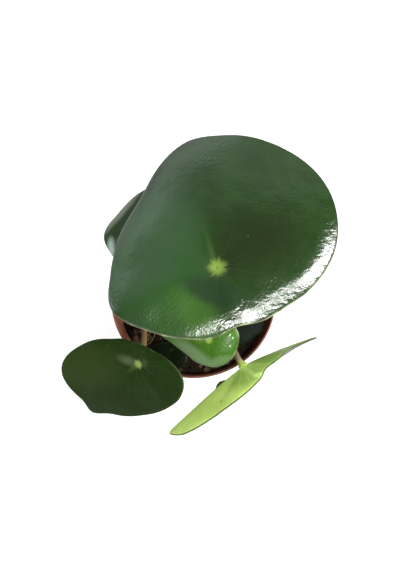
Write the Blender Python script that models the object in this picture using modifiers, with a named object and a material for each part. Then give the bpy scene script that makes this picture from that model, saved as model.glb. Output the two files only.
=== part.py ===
"""Potted peperomia: a thin plastic nursery pot of dark soil, with a short stem and seven round leaves.

Metres, +Z up, -Y to the front. The origin is the centre of the pot's underside.
Each leaf is a stalk and a blade, and the stalk meets the blade's underside inside its margin.
"""
import math

import bmesh
import bpy
import numpy as np
from mathutils import Vector

MM = 0.001

# Driving dimensions of the pot
GAP = 0.3 * MM
POT_TOP_RADIUS = 44.9 * MM
POT_BASE_RADIUS = 29.0 * MM
POT_HEIGHT = 68.0 * MM
COLLAR_HEIGHT = 8.5 * MM
COLLAR_TAPER = 2.2 * MM
COLLAR_STEP = 0.6 * MM
RIM_WIDTH = 1.9 * MM
RIM_ROUNDING = 0.8 * MM
FOOT_ROUNDING = 0.5 * MM
WALL = 1.2 * MM
FLOOR = 1.5 * MM
POT_SEGMENTS = 64
DRAIN_RADIUS = 3.5 * MM
DRAIN_CIRCLE = 19.0 * MM
DRAIN_COUNT = 6

# Driving dimensions of the soil and the stem
SOIL_TOP = 59.0 * MM
SOIL_EDGE = 2.5 * MM
SOIL_ROUGHNESS = 0.7 * MM
SOIL_RINGS = 7
SOIL_SEGMENTS = 40
STEM_FOOT = Vector((-1.0, 0.0, 36.0)) * MM
STEM_BEND = Vector((-1.0, 0.0, 60.0)) * MM
STEM_MIDDLE = Vector((0.0, -2.5, 77.0)) * MM
STEM_TIP = Vector((1.5, -6.0, 94.0)) * MM
STEM_RADIUS = 4.0 * MM
STEM_TIP_RADIUS = 3.2 * MM

# Blades
BLADE_THICKNESS = 1.3 * MM
DIMPLE_RADIUS = 6.0 * MM

# Stalks: points along each, the straight last stretch square to the blade,
# and the thickness at foot and head as a share of the radius
STALK_POINTS = 15
STALK_END = 1.5 * MM
STALK_FOOT = 1.08
STALK_HEAD = 0.96

# Each leaf, in millimetres and degrees.
# joint: where the stalk meets the blade. face: bearing and rise of the way its upper face looks,
# and how far the tip is turned from straight downhill. reach: joint to margin, at even turns
# clockwise from the tip. lift: how far the margin stands above the blade's plane at those turns.
# curl: 1 for a straight lift, 2 and more for one that gathers near the margin.
# tip: turn, length, droop and half width (degrees) of the drip tip.
# stalk: radius, then the points that it passes on its way to the joint.
# seat: height on the stem, bearing and rise of the stalk where it leaves it.
# approach: length of the stalk's last stretch, which runs square to the blade.
LEAVES = {
    "top_leaf": dict(
        joint=(11.1, -19.0, 170.0), face=(107, 83, 0), curl=2.4, dimple=1.5,
        reach=(71, 76, 73, 66.3, 56, 44, 34, 30, 28.5, 31, 34, 39.5, 49, 49, 51.5, 57.5),
        lift=(-12, -10, -8.5, -7, -6, -5.5, -5.5, -4.5, 0, -3, -8, -11, -13, -15, -15, -16),
        tip=(7.5, 3.5, 3, 8), rings=8, turns=48,
        seat=(90, -70, 70), radius=2.0, approach=10, stalk=((5, -12, 112), (7.5, -13, 138))),
    "back_left_leaf": dict(
        joint=(-17.4, 7.9, 138.0), face=(190, 62, 0), curl=2, dimple=1,
        reach=(27.5, 34.8, 32.5, 31.5, 30, 28.5, 27, 26, 25, 24.5, 24, 22.5, 21, 20, 20.5, 23),
        lift=(-5, -6, -8, -9, -8.5, -7.5, -6, -5, -4.5, -4, -4, -4, -4, -4, -4, -4),
        tip=(0, 1, 1, 8), rings=6, turns=40,
        seat=(86, 150, 58), radius=1.8, approach=9, stalk=((-7.5, 1, 102), (-12, 5, 119))),
    "small_front_leaf": dict(
        joint=(7.4, -38.9, 122.0), face=(-130, 60, 45), curl=2, dimple=0.8,
        reach=(20, 30.5, 26.5, 24, 22, 21, 19, 14.5, 14.5, 14, 14, 14, 14, 13.5, 14, 15),
        lift=(-3, -3, -3, -3, -3, -3, -3, -3, -3, -3, -3, -3, -3, -3, -3, -3),
        tip=(20, 2, 1, 9), rings=6, turns=36, finish="leaf_bright",
        seat=(80, -80, 45), radius=1.7, approach=7, stalk=((6, -17, 90), (8.8, -29, 105))),
    "front_left_leaf": dict(
        joint=(-28.5, -43.0, 89.0), face=(-134, 40, 16), curl=2, dimple=1.2,
        reach=(51.5, 56.8, 36.5, 21.5, 15.5, 12.5, 11.5, 12, 14, 20, 27, 28, 27, 28, 31.5, 40),
        lift=(-3, -2, -1, -1, -1, -1, -1, -1, -1, -1, -1, -1, -1, -2, -2, -3),
        tip=(-7, 5, 1, 6), rings=6, turns=48,
        seat=None, radius=1.5, approach=2.5,
        stalk=((-26.3, -3, 47), (-26.3, -7.5, 54), (-26.4, -12.6, 61.5),
               (-26.3, -19.5, 69.5), (-25.9, -27, 76.5), (-26, -34.5, 82.5))),
    "hanging_leaf": dict(
        joint=(26.6, -42.7, 81.0), face=(-55, -10, 0), curl=1.3, dimple=0,
        reach=(61, 60, 53, 53.5, 44.5, 33, 31, 26, 18.5, 16, 21, 23, 30, 50, 56, 59),
        lift=(8, 4, 6, 6.5, 11, 12, 11.5, 11, 9.5, 7, 6.5, 5.5, 6.5, 9.5, 8, 7.5),
        tip=(4, 6, 8, 7), rings=7, turns=48, finish="leaf_underside",
        seat=(72, -60, 30), radius=1.6, approach=3, stalk=((11, -17.5, 79.5), (20, -31.5, 82))),
    "low_front_leaf": dict(
        joint=(-11.9, -30.4, 71.0), face=(-120, 72, 0), curl=2, dimple=0.6,
        reach=(9, 9.5, 11, 11, 7.5, 5, 4.5, 4.5, 4.5, 5, 5.5, 7, 10, 11, 10, 9),
        lift=(-1, -1, -1, -1, -1, -1, -1, -1, -1, -1, -1, -1, -1, -1, -1, -1),
        tip=(0, 1, 0, 14), rings=4, turns=24,
        seat=(63.5, -125, 20), radius=1.3, approach=3, stalk=((-7, -12, 65.5), (-10, -20.5, 65.5))),
    "low_right_leaf": dict(
        joint=(23.4, -12.2, 73.0), face=(-30, 72, 0), curl=2, dimple=0.6,
        reach=(15, 14.5, 16, 17, 17, 16, 14, 12.5, 12, 11.5, 12.5, 12.5, 14, 14, 16.5, 16),
        lift=(-1, -1, -1, -1, -1, -1, -1, -1, -1, -1, -1, -1, -1, -1, -1, -1),
        tip=(0, 1, 0, 14), rings=5, turns=28,
        seat=(64.5, -20, 15), radius=1.3, approach=3, stalk=((11, -5, 66.3), (18.5, -9.2, 66.2))),
}

# Colours (linear), roughness, metallic
FINISHES = {
    "pot_plastic": ((0.50, 0.20, 0.13), 0.45, 0.0),
    "soil": ((0.020, 0.013, 0.010), 0.95, 0.0),
    "stem": ((0.16, 0.09, 0.04), 0.55, 0.0),
    "stalk": ((0.23, 0.16, 0.06), 0.45, 0.0),
    "leaf_dark": ((0.040, 0.095, 0.028), 0.28, 0.0),
    "leaf_bright": ((0.085, 0.24, 0.025), 0.28, 0.0),
    "leaf_underside": ((0.37, 0.56, 0.14), 0.42, 0.0),
}


def empty_scene():
    """Remove what the scene holds."""
    for obj in list(bpy.data.objects):
        bpy.data.objects.remove(obj, do_unlink=True)


def collection(name):
    """A new collection in the scene."""
    made = bpy.data.collections.new(name)
    bpy.context.scene.collection.children.link(made)
    return made


def finish(name):
    """A Principled material, made once for each name."""
    material = bpy.data.materials.get(name)
    if material is None:
        colour, roughness, metallic = FINISHES[name]
        material = bpy.data.materials.new(name)
        material.use_nodes = True
        shader = material.node_tree.nodes["Principled BSDF"]
        shader.inputs["Base Color"].default_value = (*colour, 1.0)
        shader.inputs["Roughness"].default_value = roughness
        shader.inputs["Metallic"].default_value = metallic
    return material


def add_mesh(name, mesh, home, finish_name):
    """A mesh object with its material, in its collection."""
    obj = bpy.data.objects.new(name, mesh)
    mesh.materials.append(finish(finish_name))
    home.objects.link(obj)
    return obj


def shade(obj):
    """Smooth shading that keeps the sharp corners."""
    obj.data.shade_smooth()
    obj.data.set_sharp_from_angle(angle=math.radians(40))


def applied(obj):
    """Replace an object's mesh with what its modifiers make of it."""
    graph = bpy.context.evaluated_depsgraph_get()
    mesh = bpy.data.meshes.new_from_object(obj.evaluated_get(graph))
    obj.modifiers.clear()
    obj.data = mesh
    return obj


def turned(name, profile, segments, home, finish_name):
    """A body of revolution from (radius, height) points, from the axis, up the inside, down the outside."""
    bm = bmesh.new()
    verts = [bm.verts.new((radius, 0.0, height)) for radius, height in profile]
    for pair in zip(verts, verts[1:]):
        bm.edges.new(pair)
    mesh = bpy.data.meshes.new(name)
    bm.to_mesh(mesh)
    bm.free()
    obj = add_mesh(name, mesh, home, finish_name)
    screw = obj.modifiers.new("turn", "SCREW")
    screw.steps = segments
    screw.render_steps = segments
    screw.use_merge_vertices = True
    screw.merge_threshold = 0.00005
    screw.use_smooth_shade = True
    return obj


def curve_through(points, count, beyond=None):
    """Evenly spaced points on a smooth curve through the given ones, whose end heads for the one beyond."""
    knots = [Vector(p) for p in points]
    if beyond is None:
        beyond = 2 * knots[-1] - knots[-2]
    knots = [2 * knots[0] - knots[1], *knots, beyond]
    spans = len(knots) - 3
    result = []
    for step in range(count):
        place = step / (count - 1) * spans
        span = min(int(place), spans - 1)
        f = place - span
        a, b, c, d = knots[span:span + 4]
        result.append(0.5 * (2 * b + (c - a) * f + (2 * a - 5 * b + 4 * c - d) * f ** 2
                             + (3 * b - a - 3 * c + d) * f ** 3))
    return result


def rod(name, points, radii, home, finish_name):
    """A round rod along points, with a radius at each."""
    curve = bpy.data.curves.new(name, "CURVE")
    curve.dimensions = "3D"
    curve.bevel_depth = 1.0
    curve.bevel_resolution = 2
    curve.use_fill_caps = True
    spline = curve.splines.new("POLY")
    spline.points.add(len(points) - 1)
    for node, place, radius in zip(spline.points, points, radii):
        node.co = (*place, 1.0)
        node.radius = radius
    curve.materials.append(finish(finish_name))
    obj = bpy.data.objects.new(name, curve)
    home.objects.link(obj)
    return obj


def hole_cutter(name, low, high, radius, home):
    """A hidden straight cylinder from low to high."""
    axis = high - low
    bpy.ops.mesh.primitive_cylinder_add(vertices=20, radius=radius, depth=axis.length)
    obj = bpy.context.object
    obj.name = name
    obj.location = (low + high) / 2
    obj.rotation_euler = axis.to_track_quat("Z", "Y").to_euler()
    for owner in list(obj.users_collection):
        owner.objects.unlink(obj)
    home.objects.link(obj)
    obj.hide_render = True
    obj.display_type = "WIRE"
    return obj


def cut(obj, cutter):
    """Cut one body out of another."""
    boolean = obj.modifiers.new(cutter.name, "BOOLEAN")
    boolean.operation = "DIFFERENCE"
    boolean.solver = "EXACT"
    boolean.object = cutter


def wall_radius(height):
    """Outer radius of the pot's wall below the collar."""
    collar_foot = POT_HEIGHT - COLLAR_HEIGHT
    top = POT_TOP_RADIUS - COLLAR_TAPER - COLLAR_STEP
    return POT_BASE_RADIUS + (top - POT_BASE_RADIUS) * height / collar_foot


def make_pot(home, cutters):
    """The pot: tapered wall, a collar that stands out at the top, and drain holes in the floor."""
    foot = POT_HEIGHT - COLLAR_HEIGHT
    collar_radius = POT_TOP_RADIUS - COLLAR_TAPER
    inner_rim = POT_TOP_RADIUS - RIM_WIDTH
    rounded = 0.3 * RIM_ROUNDING
    profile = [
        (0.0, FLOOR),
        (wall_radius(FLOOR) - WALL, FLOOR),
        (wall_radius(foot) - WALL, foot),
        (inner_rim, POT_HEIGHT - RIM_ROUNDING),
        (inner_rim + rounded, POT_HEIGHT - rounded),
        (inner_rim + RIM_ROUNDING, POT_HEIGHT),
        (POT_TOP_RADIUS - RIM_ROUNDING, POT_HEIGHT),
        (POT_TOP_RADIUS - rounded, POT_HEIGHT - rounded),
        (POT_TOP_RADIUS, POT_HEIGHT - RIM_ROUNDING),
        (collar_radius, foot + FOOT_ROUNDING),
        (collar_radius - 0.5 * FOOT_ROUNDING, foot),
        (wall_radius(foot), foot),
        (wall_radius(FOOT_ROUNDING), FOOT_ROUNDING),
        (POT_BASE_RADIUS - FOOT_ROUNDING, 0.0),
        (0.0, 0.0),
    ]
    pot = turned("pot", profile, POT_SEGMENTS, home, "pot_plastic")
    for index in range(DRAIN_COUNT):
        bearing = 2 * math.pi * (index + 0.5) / DRAIN_COUNT
        centre = Vector((DRAIN_CIRCLE * math.cos(bearing), DRAIN_CIRCLE * math.sin(bearing), 0.0))
        low = centre - Vector((0, 0, FLOOR))
        high = centre + Vector((0, 0, 2 * FLOOR))
        cut(pot, hole_cutter(f"drain_{index}", low, high, DRAIN_RADIUS, cutters))
    shade(pot)
    return pot


def soil_bumps(x, y):
    """Height of the crumbly top at a place."""
    u, v = x / MM, y / MM
    rough = 0.5 * math.sin(0.31 * u + 0.4) * math.cos(0.27 * v - 0.8)
    rough += 0.3 * math.sin(0.73 * u - 0.52 * v + 1.1) + 0.2 * math.cos(0.61 * u + 0.88 * v)
    return SOIL_ROUGHNESS * rough


def make_soil(home, cutters, holes):
    """The soil that fills the pot, with a bumpy top and a plain hole for each stem in it."""
    foot = FLOOR + GAP
    shoulder = SOIL_TOP - SOIL_EDGE
    edge = wall_radius(shoulder) - WALL - GAP
    rings = [(edge * ring / SOIL_RINGS, SOIL_TOP) for ring in range(SOIL_RINGS + 1)]
    profile = rings + [(edge, shoulder), (wall_radius(foot) - WALL - GAP, foot), (0.0, foot)]
    soil = applied(turned("soil", profile, SOIL_SEGMENTS, home, "soil"))
    for vert in soil.data.vertices:
        if vert.co.z > SOIL_TOP - 0.1 * MM:
            vert.co.z += soil_bumps(vert.co.x, vert.co.y)
    for name, low, high, radius in holes:
        cut(soil, hole_cutter(name, low, high, radius + GAP, cutters))
    return soil


def stem_line():
    """Centre line of the stem: straight in the soil, then leaning forward."""
    bent = curve_through((STEM_FOOT, STEM_BEND, STEM_MIDDLE, STEM_TIP), 16)
    return [p if p.z > STEM_BEND.z else Vector((STEM_BEND.x, STEM_BEND.y, p.z)) for p in bent]


def stem_at(height):
    """Centre and radius of the stem at a height."""
    line = stem_line()
    low = max(p for p in range(len(line) - 1) if line[p].z <= height)
    part = (height - line[low].z) / (line[low + 1].z - line[low].z)
    along = (low + part) / (len(line) - 1)
    return line[low].lerp(line[low + 1], part), STEM_RADIUS + (STEM_TIP_RADIUS - STEM_RADIUS) * along


def make_stem(home):
    """The short stem that carries the stalks."""
    line = stem_line()
    radii = np.linspace(STEM_RADIUS, STEM_TIP_RADIUS, len(line))
    return rod("stem", line, radii, home, "stem")


def heading(bearing, rise):
    """Unit vector toward a bearing and a rise, in degrees."""
    b, r = math.radians(bearing), math.radians(rise)
    return Vector((math.cos(r) * math.cos(b), math.cos(r) * math.sin(b), math.sin(r)))


def blade_axes(leaf):
    """Right, tipward and upper-face directions of a blade."""
    bearing, rise, turn = leaf["face"]
    up = heading(bearing, rise)
    downhill = heading(bearing, rise - 90)
    side = downhill.cross(up)
    tipward = math.cos(math.radians(turn)) * downhill + math.sin(math.radians(turn)) * side
    return tipward.cross(up), tipward, up


def around(values, turn):
    """Value at a turn (0 to 1) on a smooth closed curve through evenly spaced values."""
    count = len(values)
    place = (turn % 1.0) * count
    index = int(place)
    f = place - index
    a, b, c, d = (values[(index + k) % count] for k in (-1, 0, 1, 2))
    return 0.5 * (2 * b + (c - a) * f + (2 * a - 5 * b + 4 * c - d) * f ** 2
                  + (3 * b - a - 3 * c + d) * f ** 3)


def blade_point(leaf, part, turn):
    """Place on the upper face: part is 0 at the joint and 1 at the margin, turn is clockwise from the tip."""
    right, tipward, up = blade_axes(leaf)
    tip_turn, tip_length, tip_droop, tip_width = leaf["tip"]
    off = (turn * 360 - tip_turn + 180) % 360 - 180
    tip = math.exp(-(off / tip_width) ** 2)
    reach = (around(leaf["reach"], turn) + tip_length * tip) * part * MM
    lift = around(leaf["lift"], turn) * part ** leaf["curl"] - tip_droop * tip * part ** 5
    lift -= leaf["dimple"] * math.exp(-(reach / DIMPLE_RADIUS) ** 2)
    angle = 2 * math.pi * turn
    place = Vector(leaf["joint"]) * MM
    return place + reach * (math.sin(angle) * right + math.cos(angle) * tipward) + lift * MM * up


def make_blade(name, leaf, home):
    """A blade: a disc of rings round the joint, bent to the leaf's form and given its thickness."""
    bm = bmesh.new()
    spoke = [bm.verts.new((0.0, ring / leaf["rings"], 0.0)) for ring in range(leaf["rings"] + 1)]
    edges = [bm.edges.new(pair) for pair in zip(spoke, spoke[1:])]
    bmesh.ops.spin(bm, geom=spoke + edges, cent=(0, 0, 0), axis=(0, 0, 1), angle=2 * math.pi,
                   steps=leaf["turns"], use_merge=True)
    bmesh.ops.remove_doubles(bm, verts=bm.verts, dist=0.0001)
    bmesh.ops.recalc_face_normals(bm, faces=bm.faces)
    for vert in bm.verts:
        part = min(math.hypot(vert.co.x, vert.co.y), 1.0)
        turn = math.atan2(vert.co.x, vert.co.y) / (2 * math.pi)
        vert.co = blade_point(leaf, part, turn)
    bm.normal_update()
    up = blade_axes(leaf)[2]
    if sum(face.normal.dot(up) for face in bm.faces) < 0:
        bmesh.ops.reverse_faces(bm, faces=bm.faces)
    bmesh.ops.triangulate(bm, faces=bm.faces)
    mesh = bpy.data.meshes.new(name)
    bm.to_mesh(mesh)
    bm.free()
    mesh.shade_smooth()
    obj = add_mesh(name, mesh, home, leaf.get("finish", "leaf_dark"))
    solid = obj.modifiers.new("thickness", "SOLIDIFY")
    solid.thickness = BLADE_THICKNESS
    solid.offset = -1.0
    return obj


def stalk_line(leaf):
    """Centre line of a stalk, from the stem or the soil to just under the blade's joint."""
    up = blade_axes(leaf)[2]
    joint = Vector(leaf["joint"]) * MM
    end = joint - up * (leaf["dimple"] * MM + BLADE_THICKNESS + GAP)
    points = [Vector(p) * MM for p in leaf["stalk"]]
    if leaf["seat"]:
        height, bearing, rise = leaf["seat"]
        centre, stem_radius = stem_at(height * MM)
        clear = stem_radius + GAP + STALK_FOOT * leaf["radius"] * MM * math.sin(math.radians(rise))
        start = centre + heading(bearing, 0) * clear
        points = [start, start + heading(bearing, rise) * 4 * MM] + points
    turned_in = end - up * leaf["approach"] * MM
    beyond = points[-1] + 2 * (turned_in - points[-1]).length * up
    line = curve_through(points + [turned_in], STALK_POINTS - 2, beyond)
    return line + [end - up * STALK_END, end]


def make_stalk(name, leaf, home):
    """A leaf's stalk, a little thicker at its foot."""
    line = stalk_line(leaf)
    radii = np.linspace(STALK_FOOT, STALK_HEAD, len(line)) * leaf["radius"] * MM
    return rod(name, line, radii, home, "stalk")


def main():
    empty_scene()
    home = collection("potted_peperomia")
    cutters = collection("cutters")
    make_pot(home, cutters)
    make_stem(home)
    for name, leaf in LEAVES.items():
        make_stalk(name + "_stalk", leaf, home)
        make_blade(name + "_blade", leaf, home)
    rooted = LEAVES["front_left_leaf"]
    foot, soil_entry = (Vector(p) * MM for p in rooted["stalk"][:2])
    slope = (soil_entry - foot).normalized()
    holes = [
        ("stem_hole", STEM_FOOT - Vector((0, 0, GAP)), STEM_BEND + Vector((0, 0, 4 * MM)), STEM_RADIUS),
        ("stalk_hole", foot - slope * GAP, soil_entry + slope * 12 * MM, STALK_FOOT * rooted["radius"] * MM),
    ]
    make_soil(home, cutters, holes)


main()
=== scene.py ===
"""Potted peperomia: fine blades, stalks, stem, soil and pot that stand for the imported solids.

Metres, +Z up, -Y to the front. The leaves' values follow the part's. Their sizes are in millimetres
and their angles in degrees, and so are the patterns on a blade's plane.
"""
import math
import random

import bmesh
import bpy
from mathutils import Matrix, Vector, noise


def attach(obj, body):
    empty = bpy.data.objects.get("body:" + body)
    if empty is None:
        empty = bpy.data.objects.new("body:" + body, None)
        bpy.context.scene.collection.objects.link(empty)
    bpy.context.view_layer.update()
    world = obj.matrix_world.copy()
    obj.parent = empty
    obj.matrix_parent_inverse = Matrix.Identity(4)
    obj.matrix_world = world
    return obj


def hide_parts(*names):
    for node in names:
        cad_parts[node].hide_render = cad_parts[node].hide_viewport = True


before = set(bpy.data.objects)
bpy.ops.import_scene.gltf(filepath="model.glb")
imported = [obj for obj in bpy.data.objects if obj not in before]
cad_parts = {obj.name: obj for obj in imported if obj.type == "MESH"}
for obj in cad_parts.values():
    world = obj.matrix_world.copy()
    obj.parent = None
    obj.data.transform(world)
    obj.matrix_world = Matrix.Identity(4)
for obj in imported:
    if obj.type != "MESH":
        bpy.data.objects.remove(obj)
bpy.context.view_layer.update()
MM = 0.001

# The photograph's view: 400 x 570 pixels, the camera in front of the pot and high above it
IMAGE_LONG_SIDE_PX = 570
FOCAL_PX = 902.2
SENSOR_MM = 36.0
VIEW_RISE = 71.19
VIEW_DISTANCE = 0.495
VIEW_AIM = Vector((3.555, 7.11, 68.0)) * MM

# The pot
GAP = 0.3 * MM
POT_TOP_RADIUS = 44.9 * MM
POT_BASE_RADIUS = 29.0 * MM
POT_HEIGHT = 68.0 * MM
COLLAR_HEIGHT = 8.5 * MM
COLLAR_TAPER = 2.2 * MM
COLLAR_STEP = 0.6 * MM
RIM_WIDTH = 1.2 * MM
RIM_ROUNDING = 0.55 * MM
RIM_STEPS = 6
FOOT_ROUNDING = 0.5 * MM
FOOT_STEPS = 4
WALL = 1.2 * MM
POT_FLOOR = 1.5 * MM
DRAIN_RADIUS = 3.5 * MM
DRAIN_CIRCLE = 19.0 * MM
DRAIN_COUNT = 6
DRAIN_SEGMENTS = 40
POT_SEGMENTS = 128
SHARP_FROM = math.radians(35)

# The soil and the stem
SOIL_TOP = 59.0 * MM
SOIL_EDGE = 2.5 * MM
SOIL_ROUGHNESS = 0.7 * MM
SOIL_GRAIN = 0.55 * MM
SOIL_RINGS = 46
SOIL_SEGMENTS = 168
SCATTER_SEED = 7
CRUMBS = 420
CRUMB_RADII = (0.35, 1.15)
CRUMB_BUMPS = (0.7, 1.15)
CRUMB_SHAPE = (1.2, 0.9, 0.65)
CRUMBS_TO_WALL = 1.2 * MM
FIBRES = 70
FIBRE_RADII = (0.09, 0.19)
FIBRE_STEPS = (0.5, 1.3)
FIBRE_POINTS = 9
FIBRE_SIDES = 5
FIBRE_LIFT = 0.25 * MM
FIBRES_START_TO_WALL = 7 * MM
FIBRES_TO_WALL = 0.5 * MM
STEM_FOOT = Vector((-1.0, 0.0, 36.0)) * MM
STEM_BEND = Vector((-1.0, 0.0, 60.0)) * MM
STEM_MIDDLE = Vector((0.0, -2.5, 77.0)) * MM
STEM_TIP = Vector((1.5, -6.0, 94.0)) * MM
STEM_RADIUS = 4.0 * MM
STEM_TIP_RADIUS = 3.2 * MM
STEM_POINTS = 16
STEM_FINE_POINTS = 90
STEM_CAP_STEPS = 6
STEM_CAP_FLATNESS = 0.5
STEM_SIDES = 40
STEM_RING_HEIGHT = 0.35 * MM
STEM_RING_SPACING = 6.5
STEM_RING_PLACE = 3.2
STEM_RING_WIDTH = 0.7

# Blades and stalks, in millimetres, or as a share of the stalk's radius for its foot, head and flare
BLADE_THICKNESS = 1.3
DIMPLE_RADIUS = 6.0
MARGIN_ROUNDING = 1.6
MARGIN_STEPS = 12
SPOKE_SPREAD = 0.1
SWELL_BROAD = 0.06
SWELL_NARROW = 0.16
NARROW_SHARE = 0.45
TIP_BEND = 5
ROLL_BEND = 1.5
STALK_POINTS = 44
STALK_END_STEPS = 8
STALK_START = 4
STALK_SIDES = 24
STALK_FOOT = 1.08
STALK_HEAD = 0.96
STALK_FLARE = 0.75
FLARE_LENGTH = 1.43

# Patterns of the finishes. A scale is how often the pattern comes in a millimetre of the blade's plane,
# and for dust in a metre. A height is a share of the depth that the finish gives its relief.
CREASE_TURN = math.radians(40)
CREASE_STRETCH = (0.5, 1.0, 1.0)
CREASE_SCALE = 0.42
PUCKER_SCALE = 1.1
PUCKER_HEIGHT = 0.25
PEBBLE_SCALE = 0.38
PEBBLE_HEIGHT = 0.26
GRAIN_SCALE = 0.8
GRAIN_HEIGHT = 0.26
GLOSSY_GRAIN_HEIGHT = 0.16
SHEEN_SCALE = 0.11
PATCH_WOBBLE_SCALE = 0.12
SPOT_RAY_SCALE = 3.6
EYE_RADIUS = 0.24
EYE_SHADE = 0.6
VEIN_WARP_SCALE = 0.06
VEIN_START = 4.0
MIDRIB_HALF_WIDTH = 1.9
MIDRIB_START = 3.0
DOT_RADIUS = 0.45
DOT_COLOUR = (0.30, 0.36, 0.20)
RIM_INSET = 0.55
RIM_PATCH_SCALE = 0.14
RIM_DARK = (0.012, 0.024, 0.005)
RIM_BROWN = (0.13, 0.12, 0.05)
# the margin's own pale colour, with a painted highlight in it
RIM_PALE_AND_HIGHLIGHT = (0.44, 0.50, 0.26)
RIM_UNDER = (0.07, 0.10, 0.02)
STREAK_STRETCH = (14, 3, 1)
DUST_SCALE = 900.0

# The lights: name, bearing and rise of the place they shine from, width, height, radiance and colour.
# The softbox and the two windows make the white reflections, the boards the soft sheen round them.
LIGHT_DISTANCE = 1.2
LIGHTS = (
    ("softbox", 0, 38, 0.80, 0.68, 14.0, (1.0, 1.0, 0.98)),
    ("upper window", -40, 67, 0.50, 0.30, 13.0, (1.0, 1.0, 0.98)),
    ("front window", -104, 55, 0.34, 0.32, 22.0, (1.0, 0.99, 0.97)),
    ("low back board", 122, 11, 1.5, 0.46, 0.74, (0.78, 1.0, 0.86)),
    ("high back board", 140, 37, 1.2, 0.56, 0.24, (0.80, 1.0, 0.88)),
    ("right back board", 78, 26, 0.8, 0.6, 0.24, (0.90, 1.0, 0.92)),
    ("left strip", 172, 6, 0.3, 0.3, 2.5, (0.90, 0.97, 1.0)),
    ("front board", -125, 15, 0.8, 0.3, 0.8, (0.95, 0.98, 1.0)),
)
ROOM_GLOW = 0.07
BACKDROP_SEEN = 0.92
FLOOR_SEEN = 0.90
FLOOR_HALF_SIZE = 2.0

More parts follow.
